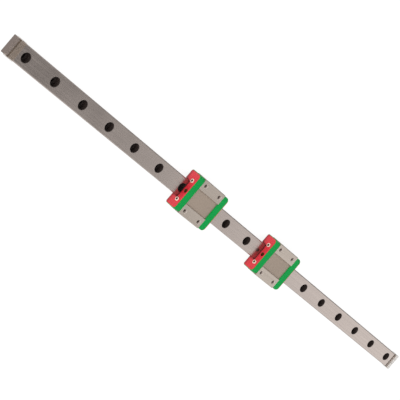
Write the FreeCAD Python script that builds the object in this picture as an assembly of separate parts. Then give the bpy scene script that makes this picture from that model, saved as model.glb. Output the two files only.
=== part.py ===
import FreeCAD, Part

import math
import os

# Miniature profile rail, size 12, with two short ball carriages and clear end stops.
# Millimetres. X runs along the rail and Z is up. The origin is on the rail's base at mid-length.

# Rail
RAIL_WIDTH = 12.0
RAIL_HEIGHT = 8.0
RAIL_HOLE_COUNT = 18
RAIL_HOLE_PITCH = 25.0
RAIL_END_MARGIN = 10.0  # rail end to the centre of the first hole
RAIL_BOLT_HOLE_DIA = 3.5
RAIL_HEAD_BORE_DIA = 6.0
RAIL_HEAD_BORE_DEPTH = 4.5
RAIL_TOP_CHAMFER = 0.4
RAIL_BASE_CHAMFER = 0.3
RAIL_END_CHAMFER = 0.3

# Raceways in the rail's sides and in the blocks, for one row of balls on each side
BALL_DIA = 2.38
BALL_CLEARANCE = 0.05  # ball to raceway wall
BALL_HEIGHT = 5.0  # ball centres above the rail's base

# Carriages: places along the rail and the steel block
CARRIAGE_CENTRES = {"carriage_1": -44.8, "carriage_2": 46.0}
CARRIAGE_TOP = 13.0  # above the rail's base
CARRIAGE_UNDERSIDE = 3.0
BLOCK_WIDTH = 27.0
BLOCK_LENGTH = 21.7
BLOCK_CHAMFER = 0.45  # along its upper and lower edges
BLOCK_END_CHAMFER = 0.15  # across the ends of its pads
BLOCK_SIDE_GAP = 0.5  # rail side to the wall of the block's channel
BLOCK_ROOF_GAP = 0.6  # rail top to the roof of the block's channel
BLOCK_ROOF_CHAMFER = 0.5
TOP_CHANNEL_WIDTH = 12.4  # unground strip between the two ground pads
TOP_CHANNEL_DEPTH = 0.9
TOP_CHANNEL_SLOPE = 0.35  # run of its sloping walls
TAPPED_SPACING_X = 15.0
TAPPED_SPACING_Y = 20.0
TAPPED_CORE_DIA = 2.5
TAPPED_DEPTH = 3.5

# Moulded end caps, one on each end of a block
CAP_LENGTH = 5.05
CAP_WIDTH = 26.3
CAP_TOP_DROP = 0.15  # below the block's pads
CAP_TOP_RADIUS = 2.5
CAP_FOOT_CHAMFER = 0.5
CAP_END_CHAMFER = 0.2
CAP_RAIL_GAP = 0.3

# End seals, each a plate over the whole outer face of an end cap
SEAL_THICKNESS = 0.6
SEAL_INSET = 0.35  # inside the cap's outline at its sides and top
SEAL_RAIL_GAP = 0.15

# Heads of the screws that hold a seal and a cap to the block, and the grease hole between them
SCREW_OFFSET = 7.2  # each side of the rail's centre plane
SCREW_HEIGHT = 9.9  # above the rail's base
SCREW_HEAD_DIA = 2.8
SCREW_HEAD_HEIGHT = 0.6
SCREW_HEAD_CHAMFER = 0.2
SCREW_SOCKET_SIDES = 6
SCREW_SOCKET_FLATS = 1.3  # across opposite sides
SCREW_SOCKET_DEPTH = 0.4
GREASE_HOLE_DIA = 2.5
GREASE_HOLE_HEIGHT = 10.8
GREASE_HOLE_DEPTH = 2.5  # in the cap, behind the seal

# Clear end stops that snap over the rail's ends and hook into its raceways
STOP_LENGTH = 4.9
STOP_WALL = 0.4
STOP_RAIL_GAP = 0.05
STOP_FOOT = 4.4  # underside of its side walls above the rail's base
STOP_CORNER_RADIUS = 0.9
STOP_STANDOFF = {"left": 0.0, "right": 1.9}  # rail end to the stop's end wall

# Sides of the rail, looking along +X
SIDES = {"left": 1, "right": -1}

# Worked out from the sizes above
RAIL_LENGTH = (RAIL_HOLE_COUNT - 1) * RAIL_HOLE_PITCH + 2 * RAIL_END_MARGIN
RACEWAY_OFFSET = RAIL_WIDTH / 2 + BLOCK_SIDE_GAP / 2
RACEWAY_RADIUS = BALL_DIA / 2 + BALL_CLEARANCE
CAP_TOP = CARRIAGE_TOP - CAP_TOP_DROP
SEAL_FACE = BLOCK_LENGTH / 2 + CAP_LENGTH + SEAL_THICKNESS  # outer face, from the carriage's centre
CUT_MARGIN = 1.0  # how far a cutting solid runs past what it cuts
SAME_POINT = 1e-9  # points nearer than this are one corner of an outline
DIAGONAL = 1 - math.sqrt(0.5)  # corner of a quarter circle to its middle, per unit of radius


def section_point(point):
    """A point of a YZ section as a vector in the plane x = 0."""
    return FreeCAD.Vector(0, point[0], point[1])


def elevation_point(point):
    """A point of an XZ elevation as a vector in the plane y = 0."""
    return FreeCAD.Vector(point[0], 0, point[1])


def plan_point(point):
    """A point of an XY plan as a vector in the plane z = 0."""
    return FreeCAD.Vector(point[0], point[1], 0)


def outline_face(start, steps, place):
    """A closed face from a start point and steps: (end,) is a line and (middle, end) an arc."""
    edges = []
    here = start
    for step in list(steps) + [(start,)]:
        end = step[-1]
        if math.dist(here, end) < SAME_POINT:
            continue
        if len(step) == 1:
            curve = Part.LineSegment(place(here), place(end))
        else:
            curve = Part.Arc(place(here), place(step[0]), place(end))
        edges.append(curve.toShape())
        here = end
    return Part.Face(Part.Wire(edges))


def mirrored_face(start, steps, place):
    """The face of a half outline, bottom to top on its positive side, and of its mirror image."""
    points = [start] + [step[-1] for step in steps]
    back = [((-points[-1][0], points[-1][1]),)]
    for index in range(len(steps) - 1, -1, -1):
        step_back = list(steps[index][:-1]) + [points[index]]
        back.append(tuple((-x, y) for x, y in step_back))
    return outline_face(start, list(steps) + back, place)


def along_rail(face, length):
    """A YZ face drawn out along +X."""
    return face.extrude(FreeCAD.Vector(length, 0, 0))


def guideway_half(half, top, corner, radius, side):
    """Half outline of a guideway above its foot, with a raceway arc that bulges to one side."""
    rise = math.sqrt(radius**2 - (RACEWAY_OFFSET - half) ** 2)
    return [
        ((half, BALL_HEIGHT - rise),),
        ((RACEWAY_OFFSET + side * radius, BALL_HEIGHT), (half, BALL_HEIGHT + rise)),
        ((half, top - corner),),
        ((half - corner, top),),
    ]


def rail_section(gap, foot, foot_chamfer=0.0):
    """The rail's own section grown by a gap, from a foot level upwards."""
    half = RAIL_WIDTH / 2 + gap
    corner = RAIL_TOP_CHAMFER + (2 - math.sqrt(2)) * gap
    steps = guideway_half(half, RAIL_HEIGHT + gap, corner, RACEWAY_RADIUS - gap, -1)
    if foot_chamfer > 0:
        steps = [((half, foot + foot_chamfer),)] + steps
    return mirrored_face((half - foot_chamfer, foot), steps, section_point)


def rail_opening(gap, length):
    """Cutting solid for an opening that follows the rail's section, from x = 0."""
    tool = along_rail(rail_section(gap, -CUT_MARGIN), length + 2 * CUT_MARGIN)
    return tool.translated(FreeCAD.Vector(-CUT_MARGIN, 0, 0))


def cylinder(diameter, length, base, direction):
    """A round solid from its base point along a direction."""
    return Part.makeCylinder(diameter / 2, length, FreeCAD.Vector(*base), FreeCAD.Vector(*direction))


def chamfered_length(length, underside, top, chamfer, width):
    """A prism across the part whose two upper end edges are chamfered, to trim a long piece with."""
    half = length / 2
    steps = [((half, top - chamfer),), ((half - chamfer, top),)]
    face = mirrored_face((half, underside), steps, elevation_point)
    face.translate(FreeCAD.Vector(0, -width / 2, 0))
    return face.extrude(FreeCAD.Vector(0, width, 0))


def make_rail():
    """Ground steel rail with a raceway on each side and a row of counterbored bolt holes."""
    rail = along_rail(rail_section(0.0, 0.0, RAIL_BASE_CHAMFER), RAIL_LENGTH)
    rail.translate(FreeCAD.Vector(-RAIL_LENGTH / 2, 0, 0))
    rail = rail.common(
        chamfered_length(RAIL_LENGTH, 0.0, RAIL_HEIGHT, RAIL_END_CHAMFER, RAIL_WIDTH + 2 * CUT_MARGIN)
    )
    floor = RAIL_HEIGHT - RAIL_HEAD_BORE_DEPTH
    tools = []
    for index in range(RAIL_HOLE_COUNT):
        x = -RAIL_LENGTH / 2 + RAIL_END_MARGIN + index * RAIL_HOLE_PITCH
        through = RAIL_HEIGHT + 2 * CUT_MARGIN
        tools.append(cylinder(RAIL_BOLT_HOLE_DIA, through, (x, 0, -CUT_MARGIN), (0, 0, 1)))
        sunk = RAIL_HEAD_BORE_DEPTH + CUT_MARGIN
        tools.append(cylinder(RAIL_HEAD_BORE_DIA, sunk, (x, 0, floor), (0, 0, 1)))
    return rail.cut(tools)


def make_end_stop(standoff):
    """Clear moulded stop for the +X end: top, two hooked side walls and an end wall."""
    inner = RAIL_WIDTH / 2 + STOP_RAIL_GAP
    half = inner + STOP_WALL
    top = RAIL_HEIGHT + STOP_RAIL_GAP + STOP_WALL
    corner = STOP_CORNER_RADIUS
    steps = [
        ((half, top - corner),),
        ((half - DIAGONAL * corner, top - DIAGONAL * corner), (half - corner, top)),
    ]
    shell = along_rail(mirrored_face((half, STOP_FOOT), steps, section_point), STOP_LENGTH)
    pocket = rail_opening(STOP_RAIL_GAP, STOP_LENGTH)
    pocket.translate(FreeCAD.Vector(-CUT_MARGIN - STOP_WALL, 0, 0))
    stop = shell.cut(pocket)
    stop.translate(FreeCAD.Vector(RAIL_LENGTH / 2 + standoff + STOP_WALL - STOP_LENGTH, 0, 0))
    return stop


def block_section():
    """Steel block: two ground pads, a sunk strip between them and the raceway channel below."""
    half = BLOCK_WIDTH / 2
    strip = TOP_CHANNEL_WIDTH / 2
    steps = [
        ((half, CARRIAGE_UNDERSIDE + BLOCK_CHAMFER),),
        ((half, CARRIAGE_TOP - BLOCK_CHAMFER),),
        ((half - BLOCK_CHAMFER, CARRIAGE_TOP),),
        ((strip, CARRIAGE_TOP),),
        ((strip - TOP_CHANNEL_SLOPE, CARRIAGE_TOP - TOP_CHANNEL_DEPTH),),
    ]
    return mirrored_face((half - BLOCK_CHAMFER, CARRIAGE_UNDERSIDE), steps, section_point)


def block_channel():
    """Channel through the block over the rail, with a raceway in each wall."""
    half = RAIL_WIDTH / 2 + BLOCK_SIDE_GAP
    steps = guideway_half(half, RAIL_HEIGHT + BLOCK_ROOF_GAP, BLOCK_ROOF_CHAMFER, RACEWAY_RADIUS, 1)
    return mirrored_face((half, CARRIAGE_UNDERSIDE - CUT_MARGIN), steps, section_point)


def make_block():
    """Steel block of a carriage, centred on x = 0."""
    long_block = along_rail(block_section(), BLOCK_LENGTH)
    long_block.translate(FreeCAD.Vector(-BLOCK_LENGTH / 2, 0, 0))
    block = long_block.common(
        chamfered_length(
            BLOCK_LENGTH,
            CARRIAGE_UNDERSIDE,
            CARRIAGE_TOP,
            BLOCK_END_CHAMFER,
            BLOCK_WIDTH + 2 * CUT_MARGIN,
        )
    )
    channel = along_rail(block_channel(), BLOCK_LENGTH + 2 * CUT_MARGIN)
    channel.translate(FreeCAD.Vector(-BLOCK_LENGTH / 2 - CUT_MARGIN, 0, 0))
    tools = [channel]
    for x in (-TAPPED_SPACING_X / 2, TAPPED_SPACING_X / 2):
        for y in (-TAPPED_SPACING_Y / 2, TAPPED_SPACING_Y / 2):
            floor = CARRIAGE_TOP - TAPPED_DEPTH
            tools.append(cylinder(TAPPED_CORE_DIA, TAPPED_DEPTH + CUT_MARGIN, (x, y, floor), (0, 0, 1)))
    return block.cut(tools)


def moulded_section(inset):
    """Section of a cap, drawn in at its sides and top, with rounded upper corners and chamfered feet."""
    half = CAP_WIDTH / 2 - inset
    top = CAP_TOP - inset
    crown = CAP_TOP_RADIUS - inset
    steps = [
        ((half, CARRIAGE_UNDERSIDE + CAP_FOOT_CHAMFER),),
        ((half, top - crown),),
        ((half - DIAGONAL * crown, top - DIAGONAL * crown), (half - crown, top)),
    ]
    return mirrored_face((half - CAP_FOOT_CHAMFER, CARRIAGE_UNDERSIDE), steps, section_point)


def cap_elevation():
    """A prism across a cap, from x = 0, whose outer upper edge is chamfered."""
    steps = [
        ((CAP_LENGTH, CARRIAGE_UNDERSIDE),),
        ((CAP_LENGTH, CAP_TOP - CAP_END_CHAMFER),),
        ((CAP_LENGTH - CAP_END_CHAMFER, CAP_TOP),),
        ((0.0, CAP_TOP),),
    ]
    face = outline_face((0.0, CARRIAGE_UNDERSIDE), steps, elevation_point)
    face.translate(FreeCAD.Vector(0, -CAP_WIDTH / 2 - CUT_MARGIN, 0))
    return face.extrude(FreeCAD.Vector(0, CAP_WIDTH + 2 * CUT_MARGIN, 0))


def grease_hole():
    """Cutting solid for the grease hole, through the seal and into the cap at the +X end."""
    base = (CAP_LENGTH - GREASE_HOLE_DEPTH, 0, GREASE_HOLE_HEIGHT)
    length = GREASE_HOLE_DEPTH + SEAL_THICKNESS + CUT_MARGIN
    return cylinder(GREASE_HOLE_DIA, length, base, (1, 0, 0))


def make_end_cap():
    """Moulded end cap for the +X end, with its inner face at x = 0."""
    cap = along_rail(moulded_section(0.0), CAP_LENGTH).common(cap_elevation())
    return cap.cut([rail_opening(CAP_RAIL_GAP, CAP_LENGTH), grease_hole()])


def make_end_seal():
    """End seal for the +X end, against the outer face of the end cap that carries it."""
    seal = along_rail(moulded_section(SEAL_INSET), SEAL_THICKNESS)
    seal.translate(FreeCAD.Vector(CAP_LENGTH, 0, 0))
    return seal.cut([rail_opening(SEAL_RAIL_GAP, CAP_LENGTH + SEAL_THICKNESS), grease_hole()])


def make_screw():
    """Head of a socket screw along X, with its underside at x = 0."""
    head = SCREW_HEAD_DIA / 2
    steps = [
        ((0.0, head),),
        ((SCREW_HEAD_HEIGHT - SCREW_HEAD_CHAMFER, head),),
        ((SCREW_HEAD_HEIGHT, head - SCREW_HEAD_CHAMFER),),
        ((SCREW_HEAD_HEIGHT, 0.0),),
    ]
    half_outline = outline_face((0.0, 0.0), steps, plan_point)
    screw = half_outline.revolve(FreeCAD.Vector(0, 0, 0), FreeCAD.Vector(1, 0, 0), 360)
    step = 2 * math.pi / SCREW_SOCKET_SIDES
    corner = SCREW_SOCKET_FLATS / 2 / math.cos(step / 2)
    angles = [step * index for index in range(SCREW_SOCKET_SIDES)]
    corners = [(corner * math.cos(angle), corner * math.sin(angle)) for angle in angles]
    socket = outline_face(corners[0], [(point,) for point in corners[1:]], section_point)
    socket.translate(FreeCAD.Vector(SCREW_HEAD_HEIGHT - SCREW_SOCKET_DEPTH, 0, 0))
    return screw.cut(along_rail(socket, SCREW_SOCKET_DEPTH + CUT_MARGIN))


def place_screw(sign):
    """A screw head on the face of a seal at the +X end of a carriage, on one side of the rail."""
    return make_screw().translated(FreeCAD.Vector(SEAL_FACE, sign * SCREW_OFFSET, SCREW_HEIGHT))


def turned(piece):
    """A copy of a +X end's piece turned half round, for the -X end."""
    copy = piece.copy()
    copy.rotate(FreeCAD.Vector(0, 0, 0), FreeCAD.Vector(0, 0, 1), 180)
    return copy


def carriage_pieces():
    """The pieces of one carriage about x = 0, by the last part of their names."""
    block_end = FreeCAD.Vector(BLOCK_LENGTH / 2, 0, 0)
    cap = make_end_cap().translated(block_end)
    seal = make_end_seal().translated(block_end)
    pieces = {
        "block": make_block(),
        "end_cap_rear": cap,
        "end_cap_front": turned(cap),
        "end_seal_rear": seal,
        "end_seal_front": turned(seal),
    }
    for side, sign in SIDES.items():
        pieces["seal_screw_rear_" + side] = place_screw(sign)
        pieces["seal_screw_front_" + side] = turned(place_screw(-sign))
    return pieces


def main():
    """Make every piece in its place and write one STEP file for each."""
    os.makedirs("parts", exist_ok=True)
    nodes = {"rail": make_rail()}
    nodes["rail_end_stop_right"] = make_end_stop(STOP_STANDOFF["right"])
    nodes["rail_end_stop_left"] = turned(make_end_stop(STOP_STANDOFF["left"]))
    pieces = carriage_pieces()
    for carriage, centre in CARRIAGE_CENTRES.items():
        for name, piece in pieces.items():
            nodes[carriage + "_" + name] = piece.translated(FreeCAD.Vector(centre, 0, 0))
    for name, shape in nodes.items():
        shape.exportStep("parts/" + name + ".step")


main()
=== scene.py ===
import logging
import math
from collections.abc import Callable, Iterable
from dataclasses import dataclass, field
from enum import Enum

import bmesh
import bpy
from bmesh.types import BMEdge, BMFace, BMVert
from mathutils import Matrix, Vector


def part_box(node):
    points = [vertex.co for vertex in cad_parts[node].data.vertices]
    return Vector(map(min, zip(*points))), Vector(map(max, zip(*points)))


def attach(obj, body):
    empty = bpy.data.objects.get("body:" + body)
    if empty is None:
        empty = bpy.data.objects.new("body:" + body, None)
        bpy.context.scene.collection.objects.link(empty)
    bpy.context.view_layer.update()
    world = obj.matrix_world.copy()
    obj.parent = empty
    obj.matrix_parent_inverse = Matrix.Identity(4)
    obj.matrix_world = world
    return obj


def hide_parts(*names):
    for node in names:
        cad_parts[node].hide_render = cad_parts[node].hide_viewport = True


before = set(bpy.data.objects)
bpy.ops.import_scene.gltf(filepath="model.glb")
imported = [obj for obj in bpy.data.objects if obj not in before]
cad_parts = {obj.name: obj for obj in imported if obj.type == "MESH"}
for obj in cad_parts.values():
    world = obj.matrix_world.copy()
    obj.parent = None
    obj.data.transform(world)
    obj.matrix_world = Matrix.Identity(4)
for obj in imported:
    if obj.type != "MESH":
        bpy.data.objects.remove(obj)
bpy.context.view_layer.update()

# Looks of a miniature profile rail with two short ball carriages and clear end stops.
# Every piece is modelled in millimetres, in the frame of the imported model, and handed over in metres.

LOG = logging.getLogger("rail_looks")

MM = 0.001  # one millimetre in metres
MERGE = 1e-4  # millimetres within which two points are one
SEAL_GAP = 0.15  # millimetres between a seal's lip and the rail
SMOOTH_ANGLE = math.radians(32.0)
HEXAGON = 6  # corners of a screw's socket

ALONG = Vector((1, 0, 0))
ACROSS = Vector((0, 1, 0))
UP = Vector((0, 0, 1))

Colour = tuple[float, float, float, float]
Place = tuple[float, float, float]
Point = tuple[float, float]  # Y and Z
Stroke = tuple[float, float]  # radius and depth
Range = tuple[float, float]

UNIT: Range = (0.0, 1.0)


class Slot(Enum):
    """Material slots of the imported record."""

    RAIL = "rail_steel"
    BLOCK = "block_steel"
    CAP = "cap_plastic"
    SEAL = "seal_rubber"
    SCREW = "screw_steel"
    STOP = "stop_plastic"


class Zone(Enum):
    """Face attributes that tell a finish where a surface is coloured another way: cut or ground
    differently, or painted with light and shade.
    """

    # BORE: dark bores and hollows; in the block's tapped holes, on its strip walls and in screw sockets
    # this dark is painted shade
    BORE = "bore"
    SAWN = "sawn"
    PAD = "pad"
    # RIM: painted light on the block's countersinks and upper thread turns, painted shade in dark bands on
    # the end stops
    RIM = "rim"
    PANE = "pane"


class End(Enum):
    """Ends of a carriage or rail, by the sign of X on which they lie."""

    FRONT = -1
    REAR = 1


class Side(Enum):
    """Sides of the rail, looking along +X, by the sign of Y."""

    LEFT = 1
    RIGHT = -1


def level(value: float) -> float:
    """A screen level of 0 to 255 as linear light."""
    share = value / 255.0
    return share / 12.92 if share <= 0.04045 else ((share + 0.055) / 1.055) ** 2.4


def tone(red: float, green: float, blue: float) -> Colour:
    """A screen colour as linear light."""
    return (level(red), level(green), level(blue), 1.0)


def grey(light: float) -> Colour:
    """A grey of so much linear light."""
    return (light, light, light, 1.0)


@dataclass(frozen=True)
class NodeBox:
    """A node's box at rest, in millimetres."""

    low: Vector
    high: Vector

    @classmethod
    def of(cls, node: str) -> "NodeBox":
        """The box of a named node."""
        low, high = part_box(node)
        return cls(Vector(low) / MM, Vector(high) / MM)

    @property
    def size(self) -> Vector:
        """Length, width and height."""
        return self.high - self.low

    @property
    def centre(self) -> Vector:
        """Middle of the box."""
        return (self.low + self.high) / 2

    def span(self, end: End) -> Range:
        """X of the inner and the outer face of a piece at one end of a carriage or rail."""
        return (self.low.x, self.high.x) if end is End.REAR else (self.high.x, self.low.x)


class Pen:
    """Draws a chain of edges in a plane across the rail."""

    def __init__(self, bm: bmesh.types.BMesh, x: float, start: Point) -> None:
        """Put the pen down.

        Args:
            bm: mesh that takes the edges.
            x: plane of the drawing.
            start: first point.
        """
        self.bm = bm
        self.x = x
        self.tip: BMVert = bmesh.ops.create_vert(bm, co=(x, *start))["vert"][0]

    def line(self, *points: Point) -> None:
        """Draw straight strokes.

        Args:
            points: ends of the strokes.
        """
        for point in points:
            made = bmesh.ops.extrude_vert_indiv(self.bm, verts=[self.tip])
            self.tip = made["verts"][0]
            self.tip.co = (self.x, *point)

    def arc(self, centre: Point, turn: float, steps: int) -> None:
        """Draw a round stroke.

        Args:
            centre: centre of the arc.
            turn: angle about +X in radians.
            steps: number of edges.
        """
        made = bmesh.ops.spin(
            self.bm, geom=[self.tip], cent=(self.x, *centre), axis=ALONG, angle=turn, steps=steps
        )
        self.tip = next(item for item in made["geom_last"] if isinstance(item, BMVert))


@dataclass
class RimLoop:
    """Rim of a hole while it is being sunk."""

    edges: list[BMEdge]
    centre: Vector
    radius: float


class Workpiece:
    """A mesh in millimetres, shaped by bmesh operators."""

    def __init__(self) -> None:
        """Start empty, with a face attribute for each zone."""
        self.bm = bmesh.new()
        self.zones = {zone: self.bm.faces.layers.float.new(zone.value) for zone in Zone}

    def pen(self, x: float, start: Point) -> Pen:
        """A pen on this piece."""
        return Pen(self.bm, x, start)

    def close_mirrored(self) -> BMFace:
        """Mirror the drawn half outline to the other side of the rail and fill it.

        Returns:
            The new face.
        """
        bm = self.bm
        bmesh.ops.mirror(bm, geom=bm.verts[:] + bm.edges[:], matrix=Matrix(), merge_dist=MERGE, axis="Y")
        bmesh.ops.remove_doubles(bm, verts=bm.verts[:], dist=MERGE)
        return bmesh.ops.contextual_create(bm, geom=bm.edges[:])["faces"][0]

    def extrude(self, faces: Iterable[BMFace], way: Vector) -> list[BMFace]:
        """Draw copies of faces out along a vector, with walls between them and the faces.

        Args:
            faces: faces to draw out, which stay where they are.
            way: direction and length.

        Returns:
            The copies.
        """
        made = bmesh.ops.extrude_face_region(self.bm, geom=list(faces))["geom"]
        bmesh.ops.translate(self.bm, verts=[item for item in made if isinstance(item, BMVert)], vec=way)
        return [item for item in made if isinstance(item, BMFace)]

    def turn_outwards(self) -> None:
        """Turn all faces outwards."""
        bmesh.ops.recalc_face_normals(self.bm, faces=self.bm.faces[:])

    def draw_out(self, face: BMFace, length: float) -> None:
        """Make a solid bar of a drawn face, along X."""
        self.extrude([face], length * ALONG)
        self.turn_outwards()

    def edges_where(self, test: Callable[[Vector], bool]) -> list[BMEdge]:
        """Edges whose two ends both pass a test."""
        return [edge for edge in self.bm.edges if all(test(vert.co) for vert in edge.verts)]

    def faces_where(self, test: Callable[[Vector], bool]) -> list[BMFace]:
        """Faces whose corners all pass a test."""
        return [face for face in self.bm.faces if all(test(vert.co) for vert in face.verts)]

    def bevel(self, edges: Iterable[BMEdge], width: float, segments: int = 1) -> None:
        """Break edges.

        Args:
            edges: edges to break.
            width: distance along each neighbouring face.
            segments: 1 for a chamfer, more for a round.
        """
        bmesh.ops.bevel(
            self.bm,
            geom=list(edges),
            offset=width,
            offset_type="OFFSET",
            affect="EDGES",
            segments=segments,
            profile=0.5,
            material=-1,
            clamp_overlap=True,
        )

    def score(self, normal: Vector, distance: float) -> None:
        """Divide the faces that a plane crosses.

        Args:
            normal: the plane's normal.
            distance: its distance from the origin.
        """
        bm = self.bm
        whole = bm.verts[:] + bm.edges[:] + bm.faces[:]
        bmesh.ops.bisect_plane(bm, geom=whole, dist=MERGE, plane_co=distance * normal, plane_no=normal)

    def pierce(
        self,
        faces: Iterable[BMFace],
        centres: Iterable[Vector],
        radius: float,
        axis: Vector,
        steps: int,
    ) -> list[RimLoop]:
        """Cut round holes in flat faces that share a plane.

        Args:
            faces: faces to cut, which share one outline.
            centres: centres of the holes in the faces' plane.
            radius: radius of the holes there.
            axis: axis of the holes.
            steps: edges round a hole.

        Returns:
            The rims, ready to be sunk.
        """
        bm = self.bm
        faces = list(faces)
        normal = faces[0].normal.copy()
        outline = [edge for face in faces for edge in face.edges]
        outline = [edge for edge in outline if outline.count(edge) == 1]
        bmesh.ops.delete(bm, geom=faces, context="FACES")
        outline = [edge for edge in outline if edge.is_valid]
        turn = axis.to_track_quat("Z", "Y").to_matrix().to_4x4()
        rims = []
        for centre in centres:
            place = Matrix.Translation(centre) @ turn
            made = bmesh.ops.create_circle(bm, cap_ends=False, radius=radius, segments=steps, matrix=place)
            edges = dict.fromkeys(edge for vert in made["verts"] for edge in vert.link_edges)
            rims.append(RimLoop(list(edges), centre.copy(), radius))
        fill_edges = outline + [edge for rim in rims for edge in rim.edges]
        bmesh.ops.triangle_fill(bm, edges=fill_edges, use_beauty=True, use_dissolve=False, normal=normal)
        return rims

    def sink(
        self, rim: RimLoop, way: Vector, strokes: Iterable[Stroke], zone: Zone, share: float = 1.0
    ) -> None:
        """Carry the rim of a hole inwards.

        Args:
            rim: rim to carry, which ends as the hole's last edge loop.
            way: unit vector into the hole, along an axis.
            strokes: radius and depth below the first rim at the end of each stroke.
            zone: attribute set on the new faces.
            share: value of that attribute.
        """
        bm = self.bm
        start = rim.centre.copy()
        for radius, depth in strokes:
            made = bmesh.ops.extrude_edge_only(bm, edges=rim.edges)["geom"]
            verts = [item for item in made if isinstance(item, BMVert)]
            edges = [item for item in made if isinstance(item, BMEdge)]
            rim.edges = [edge for edge in edges if set(verts).issuperset(edge.verts)]
            growth = radius / rim.radius
            across = Vector([1.0 if part else growth for part in way])
            bmesh.ops.scale(bm, vec=across, space=Matrix.Translation(-rim.centre), verts=verts)
            target = start + depth * way
            bmesh.ops.translate(bm, vec=target - rim.centre, verts=verts)
            rim.centre, rim.radius = target, radius
            self.mark((item for item in made if isinstance(item, BMFace)), zone, share)

    def close_rim(self, rim: RimLoop, zone: Zone, point: Vector | None = None) -> None:
        """Close the bottom of a blind hole.

        Args:
            rim: last edge loop of the hole.
            zone: attribute set on the new faces.
            point: tip of the drill's cone, from the rim's centre, or None for a flat floor.
        """
        faces = bmesh.ops.contextual_create(self.bm, geom=rim.edges)["faces"]
        if point is not None:
            made = bmesh.ops.poke(self.bm, faces=faces)
            bmesh.ops.translate(self.bm, verts=made["verts"], vec=point)
            faces = made["faces"]
        self.mark(faces, zone)

    def mark(self, faces: Iterable[BMFace], zone: Zone, share: float = 1.0) -> None:
        """Set a zone's attribute on faces."""
        for face in faces:
            face[self.zones[zone]] = share

    def hand_over(self, node: str, body: str, slot: Slot, material: bpy.types.Material) -> None:
        """Turn the workpiece into a finished object at the origin that stands for a node.

        Args:
            node: node that the piece replaces.
            body: body that carries it.
            slot: record slot of its finish; not used.
            material: its material.
        """
        bm = self.bm
        bmesh.ops.remove_doubles(bm, verts=bm.verts[:], dist=MERGE)
        self.turn_outwards()
        bmesh.ops.scale(bm, vec=(MM, MM, MM), verts=bm.verts[:])
        mesh = bpy.data.meshes.new(node + "_finished")
        bm.to_mesh(mesh)
        bm.free()
        mesh.materials.append(material)
        mesh.shade_smooth()
        mesh.set_sharp_from_angle(angle=SMOOTH_ANGLE)
        piece = bpy.data.objects.new(node + "_finished", mesh)
        bpy.context.scene.collection.objects.link(piece)
        weighted = piece.modifiers.new("even_shading", "WEIGHTED_NORMAL")
        weighted.keep_sharp = True
        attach(piece, body)
        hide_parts(node)
        LOG.info("%s: %d faces on body %s", piece.name, len(mesh.polygons), body)


@dataclass(frozen=True)
class Guideway:
    """Section of the rail's running flanks, which blocks, caps, seals and stops follow."""

    half_width: float = 6.0
    top: float = 8.0
    top_chamfer: float = 0.4
    ball_height: float = 5.0
    ball_radius: float = 1.19
    ball_clearance: float = 0.05
    block_gap: float = 0.5
    roof_gap: float = 0.6
    roof_chamfer: float = 0.5
    arc_steps: int = 18

    @property
    def raceway_offset(self) -> float:
        """Ball centres from the rail's middle."""
        return self.half_width + self.block_gap / 2

    @property
    def raceway_radius(self) -> float:
        """Radius of the grooves in rail and block."""
        return self.ball_radius + self.ball_clearance

    def grown_chamfer(self, gap: float) -> float:
        """The rail's top chamfer on an outline that keeps a gap to the rail."""
        return self.top_chamfer + (2 - math.sqrt(2)) * gap

    def flank(self, pen: Pen, half: float, top: float, corner: float, radius: float, bulge: int) -> None:
        """Draw one flank from its foot to the middle of the top.

        Args:
            pen: pen at the foot of the flank.
            half: distance of the flank from the rail's middle.
            top: height of the flat top.
            corner: chamfer between flank and top.
            radius: radius of the raceway.
            bulge: side to which the raceway bulges, -1 into the rail and 1 into the block.
        """
        offset = half - self.raceway_offset
        rise = math.sqrt(radius**2 - offset**2)
        turn = bulge * 2 * math.atan2(rise, bulge * offset)
        pen.line((half, self.ball_height - rise))
        pen.arc((self.raceway_offset, self.ball_height), turn, self.arc_steps)
        pen.line((half, top - corner), (half - corner, top), (0.0, top))

    def rail_flank(self, pen: Pen, gap: float, blunting: float = 0.0) -> None:
        """Draw the rail's own flank.

        Args:
            pen: pen at the foot of the flank.
            gap: gap that the flank keeps to the rail, 0 for the rail itself.
            blunting: what its top edge is blunted beyond the chamfer.
        """
        corner = self.grown_chamfer(gap) + blunting
        radius = self.raceway_radius - gap
        self.flank(pen, self.half_width + gap, self.top + gap, corner, radius, -1)

    def block_flank(self, pen: Pen) -> None:
        """Draw the flank of the channel in a block."""
        half = self.half_width + self.block_gap
        self.flank(pen, half, self.top + self.roof_gap, self.roof_chamfer, self.raceway_radius, 1)


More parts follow.
